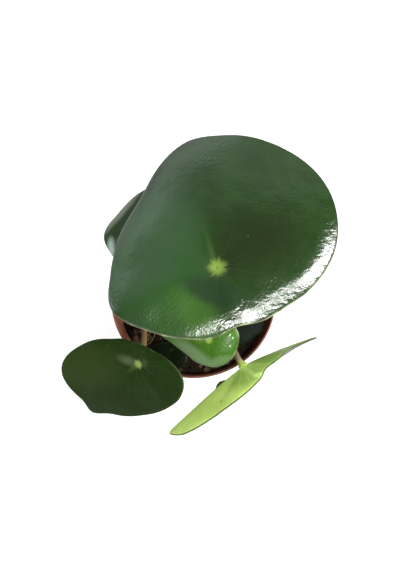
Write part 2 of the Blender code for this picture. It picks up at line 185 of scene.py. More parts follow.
# Each leaf. joint: where the stalk meets the blade. face: bearing and rise of the way its upper face
# looks, and how far the tip is turned from straight downhill. reach: joint to margin, at even turns
# clockwise from the tip. lift: how far the margin stands above the blade's plane at those turns.
# curl: 1 for a straight lift, 2 and more for one that gathers near the margin. dimple: depth of the
# hollow over the joint. roll: how far the margin rolls down at those turns, below the rest of the
# blade. band: how wide that is. tip: turn, length, droop and half width of the drip tip.
# rings and turns: how finely it is made. seat: height on the stem, and bearing and rise of the stalk
# where it leaves it. radius: the stalk's. approach: its last stretch, square to the blade.
# stalk: the points that it passes on its way to the joint.
LEAVES = {
    "top_leaf": dict(
        joint=(11.1, -19.0, 170.0), face=(107, 83, 0), curl=2.4, dimple=1.5,
        reach=(71, 76, 73, 66.3, 56, 44, 34, 30, 28.5, 31, 34, 39.5, 49, 49, 51.5, 57.5),
        lift=(-12, -10, -8.5, -7, -6, -5.5, -5.5, -4.5, 0, -3, -8, -11, -13, -15, -15, -16),
        roll=(0.2, 0.2, 0.1, -0.2, 1.0, 2.0, 1.9, 1.8, 2.2, 3.4, 0.5, 0.3, 0.4, 0.5, 0.4, 0.3),
        band=(9.5, 9.5, 9.5, 8, 6.5, 7.5, 8, 6.5, 7, 8.5, 9, 9.5, 9.5, 9.5, 9.5, 9.5),
        tip=(7.5, 3.5, 3, 8), rings=42, turns=192, slot="leaf_dark",
        seat=(90, -70, 70), radius=2.0, approach=10, stalk=((5, -12, 112), (7.5, -13, 138))),
    "back_left_leaf": dict(
        joint=(-17.4, 7.9, 138.0), face=(190, 62, 0), curl=2, dimple=1,
        reach=(27.5, 34.8, 32.5, 31.5, 30, 28.5, 27, 26, 25, 24.5, 24, 22.5, 21, 20, 20.5, 23),
        lift=(-5, -6, -8, -9, -8.5, -7.5, -6, -5, -4.5, -4, -4, -4, -4, -4, -4, -4),
        tip=(0, 1, 1, 8), rings=26, turns=120, slot="leaf_dark",
        seat=(86, 150, 58), radius=1.8, approach=9, stalk=((-7.5, 1, 102), (-12, 5, 119))),
    "small_front_leaf": dict(
        joint=(7.4, -38.9, 122.0), face=(-130, 60, 45), curl=2, dimple=0.8,
        reach=(20, 30.5, 26.5, 24, 22, 21, 19, 14.5, 14.5, 14, 14, 14, 14, 13.5, 14, 15),
        lift=(-3,) * 16,
        tip=(20, 2, 1, 9), rings=22, turns=108, slot="leaf_bright",
        seat=(80, -80, 45), radius=1.7, approach=7, stalk=((6, -17, 90), (8.8, -29, 105))),
    "front_left_leaf": dict(
        joint=(-28.5, -43.0, 89.0), face=(-134, 40, 16), curl=2, dimple=1.2,
        reach=(51.5, 56.8, 36.5, 21.5, 15.5, 12.5, 11.5, 12, 14, 20, 27, 28, 27, 28, 31.5, 40),
        lift=(-3, -2, -1, -1, -1, -1, -1, -1, -1, -1, -1, -1, -1, -2, -2, -3),
        tip=(-7, 5, 1, 6), rings=30, turns=144, slot="leaf_dark",
        seat=None, radius=1.5, approach=2.5,
        stalk=((-26.3, -3, 47), (-26.3, -7.5, 54), (-26.4, -12.6, 61.5),
               (-26.3, -19.5, 69.5), (-25.9, -27, 76.5), (-26, -34.5, 82.5))),
    "hanging_leaf": dict(
        joint=(26.6, -42.7, 81.0), face=(-55, -10, 0), curl=1.3, dimple=0,
        reach=(61, 60, 53, 53.5, 44.5, 33, 31, 26, 19.7, 16, 21, 23, 30, 50, 56, 59),
        lift=(8, 4, 6, 6.5, 11, 12, 11.5, 11, 9.5, 7, 6.5, 5.5, 6.5, 9.5, 8, 7.5),
        tip=(4, 6, 8, 7), rings=34, turns=160, slot="leaf_underside",
        seat=(72, -60, 30), radius=1.6, approach=3, stalk=((11, -17.5, 79.5), (20, -31.5, 82))),
    "low_front_leaf": dict(
        joint=(-11.9, -30.4, 71.0), face=(-120, 72, 0), curl=2, dimple=0.6,
        reach=(9, 9.5, 11, 11, 7.5, 5, 4.5, 4.5, 4.5, 5, 5.5, 7, 10, 11, 10, 9),
        lift=(-1,) * 16,
        tip=(0, 1, 0, 14), rings=14, turns=72, slot="leaf_dark",
        seat=(63.5, -125, 20), radius=1.3, approach=3, stalk=((-7, -12, 65.5), (-10, -20.5, 65.5))),
    "low_right_leaf": dict(
        joint=(23.4, -12.2, 73.0), face=(-30, 72, 0), curl=2, dimple=0.6,
        reach=(15, 14.5, 16, 17, 17, 16, 14, 12.5, 12, 11.5, 12.5, 12.5, 14, 14, 16.5, 16),
        lift=(-1,) * 16,
        tip=(0, 1, 0, 14), rings=16, turns=84, slot="leaf_dark",
        seat=(64.5, -20, 15), radius=1.3, approach=3, stalk=((11, -5, 66.3), (18.5, -9.2, 66.2))),
}

# How each blade is coloured, in linear light. deep and fresh: the two greens of its upper face.
# spot: radius and colour of the pale mark over the joint. swell: height of its soft unevenness.
# shine and index: strength of its reflections and refractive index. gloss: least and greatest
# roughness. crumple: depth of the creases near its margin. veins: how pale they are. edge: how pale the
# margin is at the notch's side, its own pale edge with a painted highlight on it. midrib: how far the
# middle vein shows.
# Each patch of light and tone on the plane: centre, half sizes, turn, softness, colour and strength. Most
# are
# painted light and shade: painted sheen, highlights, pools of light and shade; the others are darker or
# greener areas and small dark specks.
# Undersides have glow, emission that paints in the light that comes through the blade,
# and veins: count, strength and colour.
LOOKS = {
    "top_leaf": dict(
        deep=(0.010, 0.030, 0.004), fresh=(0.017, 0.046, 0.008), spot=(5.0, (0.19, 0.30, 0.05)),
        swell=0.30, shine=1.0, index=1.65, gloss=(0.16, 0.27), crumple=0.95,
        veins=0.03, edge=0.9, midrib=28.0,
        light_and_tone_patches=(
            # painted shade: the darker right half of the blade
            ((20, 6), (20, 15), -10, 0.8, (0.011, 0.020, 0.004), 0.8),
            # painted reflection: the bluish sheen over the left half
            ((-26, 18), (25, 36), 8, 0.30, (0.020, 0.070, 0.014), 0.85),
            # a greener strip by the left margin
            ((-44, 12), (6, 22), 10, 0.6, (0.020, 0.075, 0.012), 0.6),
            # painted light: a bright green fan at the lower left, in two parts
            ((-23, -18), (17, 13), 60, 0.55, (0.024, 0.085, 0.008), 0.75),
            ((-15, -18), (12, 6), 60, 0.75, (0.044, 0.122, 0.014), 0.75),
            # painted shade: a dark band in the hollow below the spot
            ((-4, -11.5), (14, 5.5), 37, 0.35, (0.012, 0.033, 0.011), 0.8))),
    "back_left_leaf": dict(
        deep=(0.014, 0.050, 0.008), fresh=(0.022, 0.070, 0.012), spot=(2.5, (0.25, 0.36, 0.06)),
        swell=0.2, shine=0.3, index=1.5, gloss=(0.2, 0.3), crumple=0.2,
        veins=0.1, edge=0.1, midrib=12.0,
        light_and_tone_patches=(
            # painted reflection: a grey sheen along the upper margin
            ((22.5, 21.5), (15, 3.6), 56, 0.6, (0.34, 0.37, 0.29), 0.8),
            # painted highlight at the lower end
            ((4.5, 28), (4.5, 2.2), 10, 0.8, (0.56, 0.70, 0.62), 0.9))),
    "small_front_leaf": dict(
        deep=(0.034, 0.104, 0.007), fresh=(0.050, 0.140, 0.012), spot=(2.4, (0.30, 0.44, 0.08)),
        swell=0.15, shine=0.18, index=1.5, gloss=(0.2, 0.3), crumple=0.12,
        veins=0.06, edge=0.5, midrib=8.0,
        light_and_tone_patches=(
            # painted reflection: whitish sheen along the lower-left margin and the bottom
            ((-6, 9), (12, 3.2), -48, 0.6, (0.19, 0.27, 0.15), 0.6),
            ((-11, -3), (6, 2.2), -100, 0.6, (0.16, 0.26, 0.12), 0.5),
            # painted highlights: three small white flecks
            ((0.9, -10.6), (0.7, 0.25), 35, 0.7, (0.62, 0.80, 0.55), 0.8),
            ((-0.6, -11.7), (0.45, 0.3), 20, 0.7, (0.62, 0.80, 0.55), 0.8),
            ((-4.3, -9.9), (0.3, 0.4), 0, 0.7, (0.62, 0.80, 0.55), 0.8))),
    "front_left_leaf": dict(
        deep=(0.012, 0.029, 0.004), fresh=(0.020, 0.044, 0.007), spot=(3.0, (0.34, 0.46, 0.12)),
        swell=0.25, shine=0.1, index=1.5, gloss=(0.28, 0.38), crumple=0.3,
        veins=0.035, edge=0.12, midrib=10.0,
        light_and_tone_patches=(
            ((18, 34), (14, 26), 20, 0.6, (0.032, 0.060, 0.010), 0.8),
            # painted highlights: pale streaks on both sides of the spot
            ((4.8, 4.2), (5.0, 2.2), -40, 0.9, (0.14, 0.17, 0.09), 0.55),
            ((-1.5, -4.5), (2.2, 1.6), 40, 0.9, (0.10, 0.13, 0.06), 0.4))),
    "hanging_leaf": dict(
        deep=(0.020, 0.060, 0.008), fresh=(0.030, 0.085, 0.012), spot=(2.6, (0.24, 0.36, 0.06)),
        swell=0.2, shine=0.25, index=1.5, gloss=(0.2, 0.3), crumple=0.2,
        veins=0.1, edge=0.3, midrib=30.0,
        # painted shade: the blade's olive where it lies in shadow at the drip tip
        light_and_tone_patches=(((6, 66), (10, 8), 0, 0.3, (0.085, 0.125, 0.018), 1.0),)),
    # The two low leaves: greens and spots darkened nearly to black, painted shade for the shadow they lie
    # in.
    "low_front_leaf": dict(
        deep=(0.003, 0.006, 0.002), fresh=(0.006, 0.011, 0.004), spot=(1.4, (0.02, 0.035, 0.01)),
        swell=0.1, shine=0.1, index=1.5, gloss=(0.3, 0.4), crumple=0.2,
        veins=0.03, edge=0.05, midrib=4.0, light_and_tone_patches=()),
    "low_right_leaf": dict(
        deep=(0.002, 0.004, 0.002), fresh=(0.004, 0.008, 0.003), spot=(1.6, (0.02, 0.035, 0.01)),
        swell=0.1, shine=0.03, index=1.5, gloss=(0.4, 0.5), crumple=0.2,
        veins=0.03, edge=0.05, midrib=6.0, light_and_tone_patches=()),
}
UNDERSIDE_LOOKS = {
    # The hanging leaf's lime greens are partly its own pale underside colour and partly painted light
    # shining through it.
    "hanging_leaf": dict(
        deep=(0.52, 0.71, 0.16), fresh=(0.64, 0.82, 0.25), spot=(3.4, (0.52, 0.76, 0.07)), glow=0.20,
        crumple=0.1, veins=(22, 0.09, (0.72, 0.88, 0.42)),
        light_and_tone_patches=(
            ((-27, -4), (25, 24), -30, 0.2, (0.16, 0.285, 0.045), 0.85),
            # painted shade beside the fold below the joint
            ((3.5, -13), (9, 9), 0, 0.6, (0.26, 0.40, 0.075), 0.85),
            # painted highlight: a pale line and spot along the fold
            ((0.6, -11.5), (1.1, 6.5), 0, 0.6, (0.46, 0.64, 0.20), 0.6),
            ((-0.8, -16.5), (2.4, 1.7), 0, 0.5, (0.62, 0.82, 0.28), 0.8),
            # two small dark specks, marks of the blade's own
            ((11.3, -10.8), (1.0, 0.5), 30, 0.5, (0.10, 0.16, 0.03), 0.75),
            ((21.2, -11.2), (1.2, 0.55), 30, 0.5, (0.10, 0.16, 0.03), 0.75),
            # painted shade: the blade's olive where it lies in shadow at the drip tip
            ((6.5, 64.5), (8, 5.5), 0, 0.25, (0.065, 0.100, 0.015), 1.0))),
    "plain": dict(
        deep=(0.10, 0.17, 0.05), fresh=(0.15, 0.23, 0.07), spot=(3.0, (0.24, 0.32, 0.08)), glow=0.0,
        crumple=0.1, veins=(11, 0.8, (0.22, 0.34, 0.08)), light_and_tone_patches=()),
}


def eased(a, b, c, d, f):
    """The place or value a share f of the way from b to c, on a smooth curve that also minds a and d."""
    return 0.5 * (2 * b + (c - a) * f + (2 * a - 5 * b + 4 * c - d) * f ** 2
                  + (3 * b - a - 3 * c + d) * f ** 3)


def curve_through(points, count, beyond=None):
    """Evenly spaced points on a smooth curve through the given ones; its end heads for the one beyond."""
    knots = [Vector(p) for p in points]
    if beyond is None:
        beyond = 2 * knots[-1] - knots[-2]
    knots = [2 * knots[0] - knots[1], *knots, beyond]
    spans = len(knots) - 3
    result = []
    for step in range(count):
        place = step / (count - 1) * spans
        span = min(int(place), spans - 1)
        result.append(eased(*knots[span:span + 4], place - span))
    return result


def heading(bearing, rise):
    """Unit vector toward a bearing and a rise, in degrees."""
    b, r = math.radians(bearing), math.radians(rise)
    return Vector((math.cos(r) * math.cos(b), math.cos(r) * math.sin(b), math.sin(r)))


def blade_axes(leaf):
    """Right, tipward and upper-face directions of a blade."""
    bearing, rise, turn = leaf["face"]
    up = heading(bearing, rise)
    downhill = heading(bearing, rise - 90)
    side = downhill.cross(up)
    tipward = math.cos(math.radians(turn)) * downhill + math.sin(math.radians(turn)) * side
    return tipward.cross(up), tipward, up


def around(values, turn):
    """Value at a turn (0 to 1) on a smooth closed curve through evenly spaced values."""
    count = len(values)
    place = (turn % 1.0) * count
    index = int(place)
    return eased(*(values[(index + k) % count] for k in (-1, 0, 1, 2)), place - index)


def drip_tip(leaf, turn):
    """How much of the drip tip there is at a turn, from 0 to 1."""
    tip_turn, _, _, tip_width = leaf["tip"]
    off = (turn * 360 - tip_turn + 180) % 360 - 180
    return math.exp(-(off / tip_width) ** 2)


def full_reach(leaf, turn):
    """Joint to margin at a turn, with the drip tip."""
    return around(leaf["reach"], turn) + leaf["tip"][1] * drip_tip(leaf, turn)


def blade_lift(leaf, part, turn):
    """Height over the blade's plane: part is 0 at the joint and 1 at the margin."""
    lift = around(leaf["lift"], turn) * part ** leaf["curl"]
    lift -= leaf["tip"][2] * drip_tip(leaf, turn) * part ** TIP_BEND
    return lift - leaf["dimple"] * math.exp(-(full_reach(leaf, turn) * part / DIMPLE_RADIUS) ** 2)


def margin_roll(leaf, turn, inset):
    """How far the blade is rolled down at a distance inside its margin."""
    if "roll" not in leaf:
        return 0.0
    near = max(0.0, 1 - inset / around(leaf["band"], turn))
    return around(leaf["roll"], turn) * near ** ROLL_BEND


def swell(x, y, height):
    """Soft unevenness of a grown blade, in millimetres."""
    broad = noise.noise(Vector((x * SWELL_BROAD, y * SWELL_BROAD, 3.7)))
    narrow = noise.noise(Vector((x * SWELL_NARROW, y * SWELL_NARROW, 8.1)))
    return height * (broad + NARROW_SHARE * narrow)


def in_scene(name, data):
    """An object in the scene, with its data."""
    obj = bpy.data.objects.new(name, data)
    bpy.context.scene.collection.objects.link(obj)
    return obj


def new_piece(name, bm):
    """A smooth-shaded object from a bmesh."""
    mesh = bpy.data.meshes.new(name)
    bm.to_mesh(mesh)
    bm.free()
    mesh.shade_smooth()
    return in_scene(name, mesh)


def stands_for(obj, node, slot, *finishes):
    """The piece gets its finishes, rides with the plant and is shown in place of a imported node."""
    for finish in finishes:
        obj.data.materials.append(finish)
    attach(obj, "root")
    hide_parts(node)


def spin_whole(bm, steps):
    """Turn the bmesh's spoke once round the Z axis, with its seam and poles closed."""
    bmesh.ops.spin(bm, geom=list(bm.verts) + list(bm.edges), cent=(0, 0, 0), axis=(0, 0, 1),
                   angle=2 * math.pi, steps=steps, use_merge=True)
    bmesh.ops.remove_doubles(bm, verts=bm.verts, dist=1e-6)
    bmesh.ops.recalc_face_normals(bm, faces=bm.faces)


def make_blade(name, leaf, finishes):
    """A blade: an upper face and an underside that meet in a thin rounded margin."""
    bm = bmesh.new()
    share_of = bm.verts.layers.float.new("share")
    inset_of = bm.verts.layers.float.new("inset")
    depth_of = bm.verts.layers.float.new("depth")
    top = [(ring / leaf["rings"], MARGIN_ROUNDING, 0.0) for ring in range(leaf["rings"])]
    edge = []
    for step in range(MARGIN_STEPS + 1):
        a = math.pi * step / MARGIN_STEPS
        edge.append((1.0, MARGIN_ROUNDING * (1 - math.sin(a)), BLADE_THICKNESS * (1 - math.cos(a)) / 2))
    under = [(share, inset, BLADE_THICKNESS) for share, inset, _ in reversed(top)]
    # The margin's points are spread a little, so that none of them merge while the spoke is spun.
    spoke = []
    for share, inset, depth in top + edge + under:
        beyond = SPOKE_SPREAD * (MARGIN_ROUNDING - inset)
        vert = bm.verts.new((0.0, share + beyond, -SPOKE_SPREAD * depth))
        vert[share_of] = share
        vert[inset_of] = inset
        vert[depth_of] = depth
        spoke.append(vert)
    for pair in zip(spoke, spoke[1:]):
        bm.edges.new(pair)
    spin_whole(bm, leaf["turns"])

    plane = bm.loops.layers.uv.new("blade")
    right, tipward, up = blade_axes(leaf)
    joint = Vector(leaf["joint"])
    for face in bm.faces:
        depth = sum(vert[depth_of] for vert in face.verts) / len(face.verts)
        face.material_index = int(depth > BLADE_THICKNESS / 2)
    for vert in bm.verts:
        turn = math.atan2(vert.co.x, vert.co.y) / (2 * math.pi)
        reach = full_reach(leaf, turn)
        part = vert[share_of] * (1 - vert[inset_of] / reach)
        x = reach * part * math.sin(2 * math.pi * turn)
        y = reach * part * math.cos(2 * math.pi * turn)
        lift = blade_lift(leaf, part, turn) + swell(x, y, LOOKS[name]["swell"]) * min(1, part * 3)
        lift -= margin_roll(leaf, turn, reach * (1 - part))
        vert.co = (joint + x * right + y * tipward + (lift - vert[depth_of]) * up) * MM
        vert[inset_of] = reach * (1 - part)
        for loop in vert.link_loops:
            loop[plane].uv = (x, y)
    stands_for(new_piece(f"fine_{name}_blade", bm), f"{name}_blade", leaf["slot"], *finishes)


def stem_line(count=STEM_POINTS):
    """Centre line of the stem: straight in the soil, then leaning forward."""
    bent = curve_through((STEM_FOOT, STEM_BEND, STEM_MIDDLE, STEM_TIP), count)
    return [p if p.z > STEM_BEND.z else Vector((STEM_BEND.x, STEM_BEND.y, p.z)) for p in bent]


def stem_at(height):
    """Centre and radius of the stem at a height."""
    line = stem_line()
    low = max(p for p in range(len(line) - 1) if line[p].z <= height)
    part = (height - line[low].z) / (line[low + 1].z - line[low].z)
    along = (low + part) / (len(line) - 1)
    return line[low].lerp(line[low + 1], part), STEM_RADIUS + (STEM_TIP_RADIUS - STEM_RADIUS) * along


def stalk_line(leaf):
    """Centre line of a stalk, from the stem or the soil to the blade's underside."""
    up = blade_axes(leaf)[2]
    end = Vector(leaf["joint"]) * MM - up * (leaf["dimple"] + BLADE_THICKNESS) * MM
    points = [Vector(p) * MM for p in leaf["stalk"]]
    if leaf["seat"]:
        height, bearing, rise = leaf["seat"]
        centre, stem_radius = stem_at(height * MM)
        clear = stem_radius + GAP + STALK_FOOT * leaf["radius"] * MM * math.sin(math.radians(rise))
        start = centre + heading(bearing, 0) * clear
        points = [start, start + heading(bearing, rise) * STALK_START * MM] + points
    turned_in = end - up * (leaf["approach"] * MM + GAP)
    beyond = points[-1] + 2 * (turned_in - points[-1]).length * up
    line = curve_through(points + [turned_in], STALK_POINTS, beyond)
    return line + [turned_in.lerp(end, step / STALK_END_STEPS) for step in range(1, STALK_END_STEPS + 1)]


def tube(name, line, radii, sides):
    """A round tube along a line, with its radius at each point and closed ends. UV: round and along."""
    bm = bmesh.new()
    bmesh.ops.create_grid(bm, x_segments=sides, y_segments=len(line) - 1, size=0.5)
    wrap = bm.loops.layers.uv.new("wrap")
    length = [0.0]
    for here, there in zip(line, line[1:]):
        length.append(length[-1] + (there - here).length)
    for face in bm.faces:
        for loop in face.loops:
            station = round((loop.vert.co.y + 0.5) * (len(line) - 1))
            loop[wrap].uv = (loop.vert.co.x + 0.5, length[station] / length[-1])
    before = [line[0], *line[:-1]]
    after = [*line[1:], line[-1]]
    tangents = [(there - here).normalized() for here, there in zip(before, after)]
    across = [tangents[0].orthogonal().normalized()]
    for here, there in zip(tangents, tangents[1:]):
        across.append(here.rotation_difference(there) @ across[-1])
    for vert in bm.verts:
        station = round((vert.co.y + 0.5) * (len(line) - 1))
        angle = 2 * math.pi * (vert.co.x + 0.5)
        out = across[station]
        over = tangents[station].cross(out)
        vert.co = line[station] + radii[station] * (math.cos(angle) * out + math.sin(angle) * over)
    bmesh.ops.remove_doubles(bm, verts=bm.verts, dist=1e-7)
    bmesh.ops.holes_fill(bm, edges=[edge for edge in bm.edges if edge.is_boundary], sides=0)
    bmesh.ops.recalc_face_normals(bm, faces=bm.faces)
    return new_piece(name, bm)


def make_stalk(name, leaf, finish):
    """A leaf's stalk: thicker at its foot, and flared where it joins the blade."""
    line = stalk_line(leaf)
    radii = []
    for station, place in enumerate(line):
        share = station / (len(line) - 1)
        plain = STALK_FOOT + (STALK_HEAD - STALK_FOOT) * share
        to_blade = (line[-1] - place).length / MM
        flare = STALK_FLARE * math.exp(-(to_blade / FLARE_LENGTH) ** 2)
        radii.append((plain + flare) * leaf["radius"] * MM)
    obj = tube(f"fine_{name}_stalk", line, radii, STALK_SIDES)
    stands_for(obj, f"{name}_stalk", "stalk", finish)


def make_stem(finish):
    """The short stem, with a low ring where each leaf grew from it."""
    line = stem_line(STEM_FINE_POINTS)
    radii = []
    for station, place in enumerate(line):
        share = station / (len(line) - 1)
        off = (place.z / MM) % STEM_RING_SPACING - STEM_RING_PLACE
        ring = STEM_RING_HEIGHT * math.exp(-(off / STEM_RING_WIDTH) ** 2)
        radii.append(STEM_RADIUS + (STEM_TIP_RADIUS - STEM_RADIUS) * share + ring * share)
    end = line[-1]
    tip = (end - line[-2]).normalized()
    for step in range(1, STEM_CAP_STEPS + 1):
        angle = math.pi / 2 * step / STEM_CAP_STEPS
        line.append(end + tip * STEM_TIP_RADIUS * STEM_CAP_FLATNESS * math.sin(angle))
        radii.append(max(STEM_TIP_RADIUS * math.cos(angle), 0.02 * MM))
    stands_for(tube("fine_stem", line, radii, STEM_SIDES), "stem", "stem", finish)


def wall_radius(height):
    """Outer radius of the pot's wall below the collar."""
    collar_foot = POT_HEIGHT - COLLAR_HEIGHT
    top = POT_TOP_RADIUS - COLLAR_TAPER - COLLAR_STEP
    return POT_BASE_RADIUS + (top - POT_BASE_RADIUS) * height / collar_foot


def arc(centre, radius, start, end, steps):
    """Points on an arc in the (radius, height) plane, in degrees."""
    angles = [math.radians(start + (end - start) * step / steps) for step in range(steps + 1)]
    return [(centre[0] + radius * math.cos(a), centre[1] + radius * math.sin(a)) for a in angles]


def turned(name, profile, segments):
    """A body of revolution from (radius, height) points."""
    bm = bmesh.new()
    verts = [bm.verts.new((radius, 0.0, height)) for radius, height in profile]
    for pair in zip(verts, verts[1:]):
        bm.edges.new(pair)
    spin_whole(bm, segments)
    return new_piece(name, bm)


def apply_modifiers(obj):
    """Give an object the mesh that its modifiers make of it."""
    graph = bpy.context.evaluated_depsgraph_get()
    mesh = bpy.data.meshes.new_from_object(obj.evaluated_get(graph))
    obj.modifiers.clear()
    obj.data = mesh


def make_pot(finish):
    """The pot: a tapered wall, a collar with a rolled rim, and drain holes in the floor."""
    foot = POT_HEIGHT - COLLAR_HEIGHT
    collar_radius = POT_TOP_RADIUS - COLLAR_TAPER
    inner_rim = POT_TOP_RADIUS - RIM_WIDTH
    profile = [(0.0, POT_FLOOR), (wall_radius(POT_FLOOR) - WALL, POT_FLOOR)]
    profile += [(wall_radius(foot) - WALL, foot)]
    rim = POT_HEIGHT - RIM_ROUNDING
    collar = (collar_radius - FOOT_ROUNDING, foot + FOOT_ROUNDING)
    profile += arc((inner_rim + RIM_ROUNDING, rim), RIM_ROUNDING, 180, 90, RIM_STEPS)
    profile += arc((POT_TOP_RADIUS - RIM_ROUNDING, rim), RIM_ROUNDING, 90, 0, RIM_STEPS)
    profile += arc(collar, FOOT_ROUNDING, 0, -90, FOOT_STEPS)
    profile += [(wall_radius(foot), foot), (wall_radius(FOOT_ROUNDING), FOOT_ROUNDING)]
    profile += [(POT_BASE_RADIUS - FOOT_ROUNDING, 0.0), (0.0, 0.0)]
    pot = turned("fine_pot", profile, POT_SEGMENTS)
    cutters = []
    for index in range(DRAIN_COUNT):
        bearing = 2 * math.pi * (index + 0.5) / DRAIN_COUNT
        bm = bmesh.new()
        bmesh.ops.create_cone(bm, cap_ends=True, segments=DRAIN_SEGMENTS, radius1=DRAIN_RADIUS,
                              radius2=DRAIN_RADIUS, depth=4 * POT_FLOOR)
        centre = (DRAIN_CIRCLE * math.cos(bearing), DRAIN_CIRCLE * math.sin(bearing), POT_FLOOR / 2)
        bmesh.ops.translate(bm, verts=bm.verts, vec=centre)
        cutter = new_piece(f"drain_{index}", bm)
        hole = pot.modifiers.new(cutter.name, "BOOLEAN")
        hole.operation = "DIFFERENCE"
        hole.solver = "EXACT"
        hole.object = cutter
        cutters.append(cutter)
    apply_modifiers(pot)
    for cutter in cutters:
        bpy.data.objects.remove(cutter, do_unlink=True)
    pot.data.shade_smooth()
    pot.data.set_sharp_from_angle(angle=SHARP_FROM)
    pot.data.materials.clear()
    stands_for(pot, "pot", "pot_plastic", finish)


def soil_height(x, y):
    """Height of the crumbly top at a place."""
    u, v = x / MM, y / MM
    rough = 0.5 * math.sin(0.31 * u + 0.4) * math.cos(0.27 * v - 0.8)
    rough += 0.3 * math.sin(0.73 * u - 0.52 * v + 1.1) + 0.2 * math.cos(0.61 * u + 0.88 * v)
    grain = noise.noise(Vector((u * 0.55, v * 0.55, 1.3)))
    grain += 0.6 * noise.noise(Vector((u * 1.3, v * 1.3, 5.1)))
    return SOIL_TOP + SOIL_ROUGHNESS * rough + SOIL_GRAIN * grain


def somewhere(chance, radius):
    """X and Y of a random place within a radius."""
    out = radius * math.sqrt(chance.random())
    bearing = chance.uniform(0, 2 * math.pi)
    return out * math.cos(bearing), out * math.sin(bearing)


def scatter_crumbs(chance, edge, finish):
    """Loose crumbs, each a squashed uneven ball turned at random."""
    bm = bmesh.new()
    for _ in range(CRUMBS):
        x, y = somewhere(chance, edge - CRUMBS_TO_WALL)
        size = chance.uniform(*CRUMB_RADII) * MM
        angle = chance.uniform(0, 6)
        axis = Vector((chance.random(), chance.random(), 1)).normalized()
        crumb = bmesh.ops.create_icosphere(bm, subdivisions=1, radius=size)["verts"]
        for vert in crumb:
            vert.co *= chance.uniform(*CRUMB_BUMPS)
        bmesh.ops.scale(bm, verts=crumb, vec=CRUMB_SHAPE)
        bmesh.ops.rotate(bm, verts=crumb, cent=(0, 0, 0), matrix=Matrix.Rotation(angle, 3, axis))
        bmesh.ops.translate(bm, verts=crumb, vec=(x, y, soil_height(x, y) + 0.2 * size))
    stands_for(new_piece("soil_crumbs", bm), "soil", "soil", finish)


def lay_fibres(chance, edge, finish):
    """Thin root fibres that bend along the soil's top."""
    strands = []
    for index in range(FIBRES):
        x, y = somewhere(chance, edge - FIBRES_START_TO_WALL)
        way = chance.uniform(0, 2 * math.pi)
        bend = chance.uniform(-0.5, 0.5)
        step = chance.uniform(*FIBRE_STEPS) * MM
        line = []
        for _ in range(FIBRE_POINTS):
            x += step * math.cos(way)
            y += step * math.sin(way)
            way += bend * 0.5
            if math.hypot(x, y) < edge - FIBRES_TO_WALL:
                line.append(Vector((x, y, soil_height(x, y) + FIBRE_LIFT)))
        if len(line) > 3:
            thick = chance.uniform(*FIBRE_RADII) * MM
            strands.append(tube(f"fibre_{index}", line, [thick] * len(line), FIBRE_SIDES))
    stands_for(joined("soil_fibres", strands), "soil", "soil", finish)


def make_soil(finish, fibre_finish):
    """The soil that fills the pot, with loose crumbs and pale root fibres on its top."""
    foot = POT_FLOOR + GAP
    shoulder = SOIL_TOP - SOIL_EDGE
    edge = wall_radius(shoulder) - WALL - GAP
    profile = [(edge * ring / SOIL_RINGS, SOIL_TOP) for ring in range(SOIL_RINGS + 1)]
    profile += [(edge, shoulder), (wall_radius(foot) - WALL - GAP, foot), (0.0, foot)]
    soil = turned("fine_soil", profile, SOIL_SEGMENTS)
    for vert in soil.data.vertices:
        if vert.co.z > SOIL_TOP - 0.1 * MM:
            vert.co.z = soil_height(vert.co.x, vert.co.y)
    stands_for(soil, "soil", "soil", finish)
    chance = random.Random(SCATTER_SEED)
    scatter_crumbs(chance, edge, finish)
    lay_fibres(chance, edge, fibre_finish)


def joined(name, parts):
    """One piece from several, which are removed."""
    bm = bmesh.new()
    for part in parts:
        bm.from_mesh(part.data)
        bpy.data.objects.remove(part, do_unlink=True)
    return new_piece(name, bm)


def add(tree, kind, inputs=None, **settings):
    """A new node with its settings, and values or other nodes' outputs on its inputs."""
    made = tree.nodes.new("ShaderNode" + kind)
    for name, value in settings.items():
        setattr(made, name, value)
    for key, value in (inputs or {}).items():
        if isinstance(value, bpy.types.NodeSocket):
            tree.links.new(value, made.inputs[key])
        else:
            made.inputs[key].default_value = value
    return made


def maths(tree, operation, first, second=0.0, third=0.0):
    """A Math node's output."""
    return add(tree, "Math", {0: first, 1: second, 2: third}, operation=operation).outputs[0]


def times(tree, first, second):
    """Two values multiplied."""
    return maths(tree, "MULTIPLY", first, second)


def times_plus(tree, first, second, third):
    """Two values multiplied, and a third added."""
    return maths(tree, "MULTIPLY_ADD", first, second, third)


def vectors(tree, operation, first, second=(0, 0, 0)):
    """A Vector Math node."""
    return add(tree, "VectorMath", {0: first, 1: second}, operation=operation)


def coordinate(tree, place, axis):
    """One coordinate of a place."""
    return add(tree, "SeparateXYZ", {0: place}).outputs[axis]


def fade(tree, value, low, high):
    """0 below low and 1 above high, smooth between; low may be the larger."""
    return add(tree, "MapRange", {"Value": value, "From Min": low, "From Max": high},
               interpolation_type="SMOOTHSTEP").outputs["Result"]


def spread(tree, value, source, target):
    """A value between the two of source, brought evenly between the two of target."""
    return add(tree, "MapRange", {"Value": value, "From Min": source[0], "From Max": source[1],
                                  "To Min": target[0], "To Max": target[1]}).outputs["Result"]


def clouds(tree, place, scale, detail=2.0, roughness=0.5, distortion=0.0):
    """A noise pattern's value at a place."""
    return add(tree, "TexNoise", {"Vector": place, "Scale": scale, "Detail": detail,
                                  "Roughness": roughness, "Distortion": distortion}).outputs["Fac"]


def mixed(tree, share, first, second):
    """Two colours mixed."""
    colours = {}
    for key, colour in ((6, first), (7, second)):
        colours[key] = (*colour, 1.0) if isinstance(colour, tuple) else colour
    return add(tree, "Mix", {0: share, **colours}, data_type="RGBA").outputs[2]


def tinted(tree, colour, mask, strength, tone):
    """The colour with another laid over it, where the mask is and as strongly as asked."""
    return mixed(tree, times(tree, mask, strength), colour, tone)


